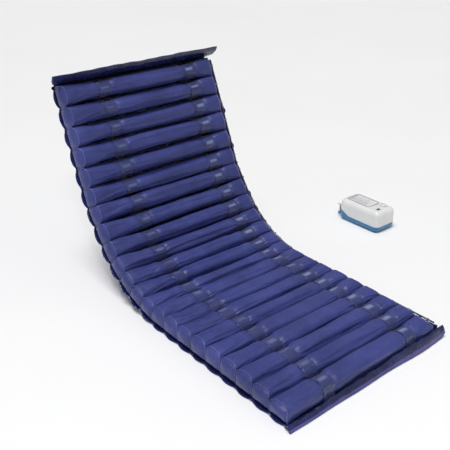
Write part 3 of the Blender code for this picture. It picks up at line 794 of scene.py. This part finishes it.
for sec in SEC:
    verts, faces, length, crest_highlight_paint = np.zeros((0, 3)), [], 0.0, []
    for num, (csec, mid) in cells.items():
        if csec is not sec:
            continue
        for xm in STRAP_X:
            p, crest_paint = loop_strip(num, xm)
            o = len(verts)
            verts = np.vstack([verts, p.reshape(-1, 3)])
            crest_highlight_paint.append(crest_paint.ravel())
            faces += grid_faces(p.shape[0], p.shape[1], base=o, flip=False)
            length += float(np.linalg.norm(np.diff(p[:, LOOP_N // 2], axis=0), axis=1).sum())
    ob = make("loops_" + sec.name, verts, faces, [M_STRAP])
    # the painted crest highlight of each point, read by the loop material
    at = ob.data.attributes.new("crest_highlight_paint", "FLOAT", "POINT")
    at.data.foreach_set("value", np.concatenate(crest_highlight_paint).astype(np.float32))
    solidify(ob, 0.0007, 1.0)
    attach(ob, sec.body)

# ---------------------------------------------------------------- air lines
def line_piece(name, line, s0, s1, body, other=None, nodes=()):
    z = LINE_Z[line]
    tees = [mid for num, (sec, mid) in cells.items() if num % 2 == line]
    marks = sorted(set(np.round(np.concatenate([np.linspace(s0, s1, max(2, int((s1 - s0) / 0.006))), [t + d for t in tees for d in (-0.0075, -0.0070, -0.0060, 0.0, 0.0060, 0.0070, 0.0075)]]), 6)))
    marks = [m for m in marks if s0 - 1e-6 <= m <= s1 + 1e-6]
    rows = []
    a = np.linspace(0, 2 * np.pi, 16, endpoint=False)
    for s in marks:
        near = min(abs(s - t) for t in tees)
        r = LINE_R if near > 0.0073 else (0.0050 if near < 0.0064 else 0.0046)
        rows.append(bent(LINE_X + r * np.cos(a), np.full(16, s), z + r * np.sin(a)))
    v = np.array(rows)
    faces = grid_faces(len(rows), 16, True)
    verts = v.reshape(-1, 3)
    n0 = len(verts)
    verts = np.vstack([verts, v[0].mean(0), v[-1].mean(0)])
    for j in range(16):
        j2 = (j + 1) % 16
        faces.append([j2, j, n0])
        faces.append([(len(rows) - 1) * 16 + j, (len(rows) - 1) * 16 + j2, n0 + 1])
    ob = make(name, verts, faces, [M_HOSE], sharp=40)
    if other:
        p, q = other
        tuple(bent(LINE_X, p.s1 - MID, z))
        tuple(bent(LINE_X, q.s0 + MID, z))
        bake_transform(ob)
    else:
        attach(ob, body)
    if nodes:
        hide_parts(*nodes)
    return ob


for line in (0, 1):
    L = "ab"[line]
    rep = lambda n: ["air_lines_" + n] if line == 0 else []
    line_piece("line_%s_foot" % L, line, 0.012, SEC[0].s1 - MID, SEC[0].body, nodes=rep("foot"))
    for a_, b_ in zip(SEC, SEC[1:]):
        line_piece("line_%s_%s" % (L, b_.name), line, a_.s1 - MID, b_.s0 + MID, None, (a_, b_), rep(b_.name) if b_.name != "head" else [])
    line_piece("line_%s_bend_6_middle" % L, line, SEC[6].s0 + MID, SEC[6].s1 - MID, SEC[6].body)
    line_piece("line_%s_head_end" % L, line, SEC[7].s0 + MID, SEC[7].s1 - 0.012, SEC[7].body, nodes=rep("head"))

# clips that hold the two lines together
for sec in SEC:
    verts, faces = np.zeros((0, 3)), []
    for num, (csec, mid) in cells.items():
        if csec is not sec:
            continue
        for zc in (LINE_Z[0], LINE_Z[1]):
            a = np.linspace(0, 2 * np.pi, 24, endpoint=False)
            rows = [place(sec, LINE_X + r * np.cos(a), np.full(24, mid + ds), zc + r * np.sin(a)) for ds, r in ((-0.0034, 0.0052), (-0.0030, 0.0056), (0.0030, 0.0056), (0.0034, 0.0052))]
            o = len(verts)
            verts = np.vstack([verts, np.array(rows).reshape(-1, 3)])
            faces += grid_faces(4, 24, True, o)
        c = [(-0.0012, LINE_Z[0] + 0.0045), (0.0012, LINE_Z[0] + 0.0045), (0.0012, LINE_Z[1] - 0.0045), (-0.0012, LINE_Z[1] - 0.0045)]
        o = len(verts)
        for ds in (-0.0030, 0.0030):
            verts = np.vstack([verts, place(sec, LINE_X + np.array([p[0] for p in c]), np.full(4, mid + ds), np.array([p[1] for p in c]))])
        faces += grid_faces(2, 4, True, o) + [[o, o + 1, o + 2, o + 3], [o + 7, o + 6, o + 5, o + 4]]
    ob = make("line_clips_" + sec.name, verts, faces, [M_GREY], sharp=35)
    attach(ob, sec.body)

# ---------------------------------------------------------------- pump
PX, PY = PUMP
HL, HW, PT = 0.130, 0.0725, 0.110
CORNER_FRONT, CORNER_BACK = 0.028, 0.038


def parting(y):
    return 0.031 + 0.022 * smooth((y - 0.050) / 0.061)


def plan(n_arc=14, n_side=22):
    """Points and outward normals of the case in plan, anticlockwise."""
    pts = []

    def arc(cx, cy, r, a0):
        for i in range(n_arc + 1):
            t = math.radians(a0 + 90 * i / n_arc)
            pts.append((cx + r * math.cos(t), cy + r * math.sin(t), math.cos(t), math.sin(t)))

    def run(x0, y0, x1, y1, nx, ny, n):
        for i in range(1, n):
            t = i / n
            pts.append((x0 + (x1 - x0) * t, y0 + (y1 - y0) * t, nx, ny))
    arc(HW - CORNER_FRONT, -HL + CORNER_FRONT, CORNER_FRONT, -90)
    run(HW, -HL + CORNER_FRONT, HW, HL - CORNER_BACK, 1, 0, n_side)
    arc(HW - CORNER_BACK, HL - CORNER_BACK, CORNER_BACK, 0)
    run(HW - CORNER_BACK, HL, -HW + CORNER_BACK, HL, 0, 1, 8)
    arc(-HW + CORNER_BACK, HL - CORNER_BACK, CORNER_BACK, 90)
    run(-HW, HL - CORNER_BACK, -HW, -HL + CORNER_FRONT, -1, 0, n_side)
    arc(-HW + CORNER_FRONT, -HL + CORNER_FRONT, CORNER_FRONT, 180)
    run(-HW + CORNER_FRONT, -HL, HW - CORNER_FRONT, -HL, 0, -1, 8)
    return np.array(pts)


PLAN = plan()


def case_loft(name, rings, mat, nodes, body, cap=None):
    """Rings of (inset, z or (dz from the parting line)) lofted round the plan; cap closes the last ring flat."""
    rows = []
    for inset, z, from_joint in rings:
        x = PLAN[:, 0] - PLAN[:, 2] * inset
        y = PLAN[:, 1] - PLAN[:, 3] * inset
        zz = parting(PLAN[:, 1]) + z if from_joint else np.full(len(PLAN), z)
        rows.append(np.stack([x + PX, y + PY, zz], 1))
    n = len(PLAN)
    verts = np.array(rows).reshape(-1, 3)
    faces = grid_faces(len(rows), n, True)
    if cap:
        faces.append([(len(rows) - 1) * n + i for i in range(n)])
    ob = make(name, verts, faces, [mat], sharp=32)
    bm = bmesh.new()
    bm.from_mesh(ob.data)
    bmesh.ops.recalc_face_normals(bm, faces=bm.faces)
    bm.to_mesh(ob.data)
    bm.free()
    ob.data.update()
    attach(ob, body)
    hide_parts(*nodes)
    return ob


def arc_profile(i0, z0, i1, z1, n, bulge=1.0):
    """Quarter-round run between two (inset, z) points: vertical at the first, flat at the second."""
    out = []
    for k in range(1, n + 1):
        t = math.pi / 2 * k / n
        out.append((i0 + (i1 - i0) * (1 - math.cos(t)), z0 + (z1 - z0) * math.sin(t), False))
    return out


# lid: its side leans in slightly and rolls over to a flat top
lid = [(0.0026, 0.0006, True), (0.0026, 0.0002, True), (0.0010, 0.0003, True), (0.0003, 0.0007, True), (0.0, 0.0014, True), (0.0003, 0.016, True)]
lid += [(0.0012, 0.078, False), (0.0015, 0.084, False)] + arc_profile(0.0015, 0.084, 0.0265, 0.1098, 14)
lid += [(0.0300, 0.1099, False)]
lid_ob = case_loft("pump_lid", lid, M_WHITE, ["pump_upper_shell"], "pump_case", cap=True)
tub = [(0.0026, -0.0004, True), (0.0026, -0.0002, True), (0.0010, -0.0003, True), (0.0003, -0.0007, True), (0.0, -0.0014, True), (0.0006, -0.010, True)]
tub += [(0.0018, 0.018, False)] + arc_profile(0.0018, 0.018, 0.0125, 0.0042, 10)
tub_ob = case_loft("pump_tub", tub, M_BLUE, ["pump_lower_shell"], "pump_case", cap=True)


def prism_at(verts, faces, pts, z0, z1, bevel=0.0):
    """Adds an upright prism over the outline pts (local pump x, y) to a vertex and face list."""
    n = len(pts)
    o = len(verts)
    c = np.mean(pts, 0)
    p = np.array(pts, float)
    inner = c + (p - c) * (1 - bevel / max(1e-6, np.abs(p - c).max()))
    for q, z in ((p, z0), (p, z1 - bevel), (inner, z1)):
        verts += [(PX + a, PY + b, z) for a, b in q]
    faces += [[o + k * n + i, o + k * n + (i + 1) % n, o + (k + 1) * n + (i + 1) % n, o + (k + 1) * n + i] for k in (0, 1) for i in range(n)]
    faces.append([o + 2 * n + i for i in range(n)])
    faces.append([o + n - 1 - i for i in range(n)])


def rounded(x0, y0, x1, y1, r, n=8):
    pts = []
    for cx, cy, a0 in ((x1 - r, y0 + r, -90), (x1 - r, y1 - r, 0), (x0 + r, y1 - r, 90), (x0 + r, y0 + r, 180)):
        for i in range(n + 1):
            t = math.radians(a0 + 90 * i / n)
            pts.append((cx + r * math.cos(t), cy + r * math.sin(t)))
    return pts


def prisms(name, shapes, mat, z0, z1, body="pump_case", bevel=0.0, sharp=30):
    verts, faces = [], []
    for s in shapes:
        prism_at(verts, faces, s, z0, z1, bevel)
    ob = make(name, verts, faces, [mat], sharp=sharp)
    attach(ob, body)
    return ob


def frame_shape(outer, inner, verts, faces, z0, z1):
    n = len(outer)
    o = len(verts)
    for ring, z in ((outer, z0), (outer, z1), (inner, z1), (inner, z0)):
        verts += [(PX + a, PY + b, z) for a, b in ring]
    for k in range(4):
        for i in range(n):
            faces.append([o + k * n + i, o + k * n + (i + 1) % n, o + ((k + 1) % 4) * n + (i + 1) % n, o + ((k + 1) % 4) * n + i])


label = prisms("pump_label_film", [rounded(-0.046, -0.048, 0.046, 0.100, 0.012)], M_LABEL, 0.1098, 0.1108, bevel=0.0003)
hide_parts("pump_label_panel")
verts, faces = [], []
frame_shape(rounded(-0.0440, -0.0460, 0.0440, 0.0980, 0.0110), rounded(-0.0405, -0.0425, 0.0405, 0.0945, 0.0080), verts, faces, 0.1100, 0.1112)
border = make("pump_label_border", verts, faces, [M_INK], sharp=30)
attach(border, "pump_case")

# generic rules in place of print: groups of short lines across the label
rules, light = [], []
rr = np.random.default_rng(77)


def rule(x0, x1, y, w=0.0011):
    return [(x0, y - w / 2), (x1, y - w / 2), (x1, y + w / 2), (x0, y + w / 2)]


y = 0.088
rules.append(rule(-0.032, 0.030, y, 0.0034))
y -= 0.0085
for group in (3, 4, 3, 4, 2):
    rules.append(rule(-0.034, -0.034 + rr.uniform(0.018, 0.030), y, 0.0019))
    y -= 0.0042
    for k in range(group):
        light.append(rule(-0.034, -0.034 + rr.uniform(0.045, 0.068), y))
        y -= 0.0036
    y -= 0.0042
prisms("pump_label_rules", rules, M_INK, 0.1105, 0.11098)
prisms("pump_label_fine_rules", light, M_INK_LIGHT, 0.1105, 0.11094)

# the rule between the label and the switch, and the marks round the switch
marks = [rule(-0.048, 0.014, -0.0640, 0.0010)]
marks += [rule(-0.0455, -0.0415, -0.092, 0.0016), rule(-0.0098, -0.0058, -0.092, 0.0009), rule(-0.0088, -0.0068, -0.0885, 0.0009), rule(-0.034, -0.018, -0.1055, 0.0012)]
prisms("pump_lid_marks", marks, M_INK_LIGHT, 0.1094, 0.11012)

# a smooth facing on the lid under the controls
prisms("pump_control_facing", [rounded(-0.0475, -0.1065, 0.0480, -0.0490, 0.006, 6)], M_WHITE, 0.1085, 0.11006, bevel=0.00004)

# switch bezel, well and rocker
sx, sy = -0.026, -0.092
verts, faces = [], []
frame_shape(rounded(sx - 0.0135, sy - 0.0102, sx + 0.0135, sy + 0.0102, 0.0030), rounded(sx - 0.0112, sy - 0.0078, sx + 0.0112, sy + 0.0078, 0.0012), verts, faces, 0.1040, 0.1112)
bezel = make("pump_switch_bezel", verts, faces, [M_WHITE], sharp=35)
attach(bezel, "pump_case")
# the well is a near-black plate filling the bezel round the rocker: painted shade in the gap
prisms("pump_switch_well", [rounded(sx - 0.0111, sy - 0.0077, sx + 0.0111, sy + 0.0077, 0.0012)], M_GAP_SHADE, 0.1099, 0.11011)
t7 = math.radians(-7.0)
prof = []
for xx, zz in ((-0.0104, -0.0006), (-0.0104, 0.0026), (-0.0100, 0.0031), (-0.0070, 0.0027), (-0.0035, 0.0021), (0.0, 0.0018), (0.0035, 0.0021), (0.0070, 0.0027), (0.0100, 0.0031), (0.0104, 0.0026), (0.0104, -0.0006)):
    prof.append((xx, zz))
rows = []
for yy, shrink in ((-0.0071, 0.0004), (-0.0068, 0.0), (-0.0030, 0.0), (0.0030, 0.0), (0.0068, 0.0), (0.0071, 0.0004)):
    row = []
    for xx, zz in prof:
        z2 = zz - shrink
        row.append((PX + sx + xx * math.cos(t7) + z2 * math.sin(t7), PY + sy + yy, 0.109 - xx * math.sin(t7) + z2 * math.cos(t7)))
    rows.append(row)
n = len(prof)
verts = np.array(rows).reshape(-1, 3)
faces = grid_faces(len(rows), n, True) + [[i for i in range(n)], [(len(rows) - 1) * n + n - 1 - i for i in range(n)]]
rocker = make("pump_rocker", verts, faces, [M_GREEN], sharp=38)
bm = bmesh.new()
bm.from_mesh(rocker.data)
bmesh.ops.recalc_face_normals(bm, faces=bm.faces)
bm.to_mesh(rocker.data)
bm.free()
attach(rocker, "pump_switch")
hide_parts("pump_power_switch")

# dial: skirt, knurled cap and a bar pointer, over a printed scale on the lid
dx, dy = 0.030, -0.078


def turned_piece(name, prof, cx, cy, mat, body, n=64, knurl=0.0, count=0):
    a = np.linspace(0, 2 * np.pi, n, endpoint=False)
    rows = []
    for r, z, kn in prof:
        rad = r - (knurl * (0.5 + 0.5 * np.cos(count * a)) if kn else 0 * a)
        rows.append(np.stack([cx + rad * np.cos(a), cy + rad * np.sin(a), np.full(n, z)], 1))
    verts = np.array(rows).reshape(-1, 3)
    faces = grid_faces(len(rows), n, True, flip=True) + [[(len(rows) - 1) * n + i for i in range(n)], [n - 1 - i for i in range(n)]]
    ob = make(name, verts, faces, [mat], sharp=35)
    bm = bmesh.new()
    bm.from_mesh(ob.data)
    bmesh.ops.recalc_face_normals(bm, faces=bm.faces)
    bm.to_mesh(ob.data)
    bm.free()
    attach(ob, body)
    return ob


knob = turned_piece("pump_dial_cap", [(0.0168, 0.1103, 0), (0.0170, 0.1108, 0), (0.0170, 0.1122, 0), (0.0164, 0.1127, 0), (0.0158, 0.1130, 1), (0.0155, 0.1168, 1), (0.0148, 0.1177, 1), (0.0136, 0.1180, 0), (0.0060, 0.1176, 0)], PX + dx, PY + dy, M_DIAL, "pump_dial", n=144, knurl=0.0006, count=24)
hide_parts("pump_pressure_dial")
pointer = prisms("pump_dial_pointer", [rounded(dx - 0.0011, dy + 0.0035, dx + 0.0011, dy + 0.0146, 0.0010, 4)], M_GREY, 0.1170, 0.1189, body="pump_dial", bevel=0.0002)


def arc_band(r0, r1, a0, a1, n=40):
    t0 = np.radians(np.linspace(a0, a1, n))
    return [(dx + r0 * math.cos(t), dy + r0 * math.sin(t)) for t in t0] + [(dx + r1 * math.cos(t), dy + r1 * math.sin(t)) for t in t0[::-1]]


verts, faces = [], []


def strip(r0, r1, a0, a1, z0, z1, n=60, taper=0.0):
    t = np.radians(np.linspace(a0, a1, n))
    o = len(verts)
    for r, z in ((r0, z0), (r0, z1), (1, z1), (1, z0)):
        for k, q in enumerate(t):
            rad = r if r != 1 else r1 + taper * k / (n - 1)
            verts.append((PX + dx + rad * math.cos(q), PY + dy + rad * math.sin(q), z))
    for j in range(3):
        for k in range(n - 1):
            faces.append([o + j * n + k, o + j * n + k + 1, o + (j + 1) * n + k + 1, o + (j + 1) * n + k])
    faces.append([o, o + n, o + 2 * n, o + 3 * n])
    faces.append([o + n - 1, o + 4 * n - 1, o + 3 * n - 1, o + 2 * n - 1])


strip(0.0185, 0.0194, 128, 412, 0.1092, 0.11010, taper=0.0018)
for k in range(9):
    a = 128 + 284 * k / 8
    strip(0.0206, 0.0232 + 0.0008 * (k % 2 == 0), a - 1.2, a + 1.2, 0.1092, 0.11010, n=4)
scale = make("pump_dial_scale", verts, faces, [M_INK_LIGHT], sharp=30)
bm = bmesh.new()
bm.from_mesh(scale.data)
bmesh.ops.recalc_face_normals(bm, faces=bm.faces)
bm.to_mesh(scale.data)
bm.free()
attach(scale, "pump_case")

# CAD parts that show as they are, in fuller materials
CAD = (("pump_hook_left", M_DIAL, "hook_plastic"), ("pump_hook_right", M_DIAL, "hook_plastic"), ("pump_air_outlets", M_GREY, "grey_plastic"), ("pump_mains_gland", M_RUBBER, "black_rubber"),
       ("pump_compressor", M_CAST, "compressor_metal"), ("pump_air_distributor", M_GREY, "grey_plastic"), ("pump_circuit_board", M_BOARD, "board"))
for nm, mat, sl in CAD:
    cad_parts[nm].data.materials.clear()
    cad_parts[nm].data.materials.append(mat)
for i in range(1, 5):
    for nm, mat in (("pump_foot_%d", M_RUBBER), ("pump_screw_%d", M_STEEL)):
        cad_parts[nm % i].data.materials.clear()
        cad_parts[nm % i].data.materials.append(mat)

# ears that carry the hooks, part of the tub
verts, faces = [], []
for hx in (-0.045, 0.045):
    for side in (-1, 1):
        x = hx + side * 0.0105
        pts = [(HL - 0.0060, 0.0165), (HL + 0.0100, 0.0165), (HL + 0.0115, 0.0195), (HL + 0.0115, 0.0250), (HL + 0.0090, 0.0280), (HL - 0.0060, 0.0300)]
        if abs(x) > HW - CORNER_BACK:
            pts = [(p - (0.0062 if p < HL else 0.0), q) for p, q in pts]
        o = len(verts)
        for u in (x - 0.0020, x + 0.0020):
            verts += [(PX + u, PY + p, q) for p, q in pts]
        n = len(pts)
        faces += [[o + i, o + (i + 1) % n, o + n + (i + 1) % n, o + n + i] for i in range(n)] + [[o + n - 1 - i for i in range(n)], [o + n + i for i in range(n)]]
ears = make("pump_hook_ears", verts, faces, [M_BLUE], sharp=30)
bev = ears.modifiers.new("edge", "BEVEL")
bev.width = 0.0006
bev.segments = 2
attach(ears, "pump_case")

# ---------------------------------------------------------------- floor and light
me = bpy.data.meshes.new("floor")
me.from_pydata([(-14, -14, -0.0006), (14, -14, -0.0006), (14, 14, -0.0006), (-14, 14, -0.0006)], [], [(0, 1, 2, 3)])
floor = bpy.data.objects.new("floor", me)
bpy.context.collection.objects.link(floor)
m, nt, b = new_material("floor_paper")
c = node(nt, "ShaderNodeTexCoord").outputs["Object"]
nt.links.new(ramp(nt, noise(nt, c, 0.6, 3.0), ((0.35, (0.885, 0.885, 0.885)), (0.65, (0.90, 0.90, 0.90)))), b.inputs["Base Color"])
nt.links.new(to_range(nt, noise(nt, c, 3.0, 3.0), 0.55, 0.65), b.inputs["Roughness"])
b.inputs["Specular IOR Level"].default_value = 0.25
me.materials.append(m)

world = bpy.data.worlds.new("studio")
bpy.context.scene.world = world
world.use_nodes = True
nt = world.node_tree
bg = nt.nodes["Background"]
bg.inputs["Strength"].default_value = 0.41
tc = nt.nodes.new("ShaderNodeTexCoord")
sep = nt.nodes.new("ShaderNodeSeparateXYZ")
nt.links.new(tc.outputs["Generated"], sep.inputs[0])
r = nt.nodes.new("ShaderNodeValToRGB")
r.color_ramp.elements[0].position, r.color_ramp.elements[0].color = 0.0, (0.92, 0.92, 0.92, 1)
r.color_ramp.elements[1].position, r.color_ramp.elements[1].color = 0.65, (0.80, 0.80, 0.82, 1)
nt.links.new(sep.outputs["Z"], r.inputs["Fac"])
nt.links.new(r.outputs["Color"], bg.inputs["Color"])


def area(name, loc, aim, size, power, colour=(1, 1, 1)):
    d = bpy.data.lights.new(name, "AREA")
    d.shape = "RECTANGLE"
    d.size, d.size_y = size
    d.energy = power
    d.color = colour
    o = bpy.data.objects.new(name, d)
    bpy.context.collection.objects.link(o)
    o.location = loc
    o.rotation_mode = "QUATERNION"
    o.rotation_quaternion = (Vector(aim) - Vector(loc)).to_track_quat("-Z", "Y")
    return o


d = bpy.data.lights.new("sun", "SUN")
d.energy = 2.14
d.angle = math.radians(24)
sun = bpy.data.objects.new("sun", d)
bpy.context.collection.objects.link(sun)
sun.rotation_mode = "QUATERNION"
sun.rotation_quaternion = Vector((0.20, 0.02, -0.98)).to_track_quat("-Z", "Y")
area("glint", (-1.9, -1.9, 3.4), (0.0, 0.6, 0.3), (0.30, 0.30), 26)
bpy.context.scene.view_settings.view_transform = "Standard"
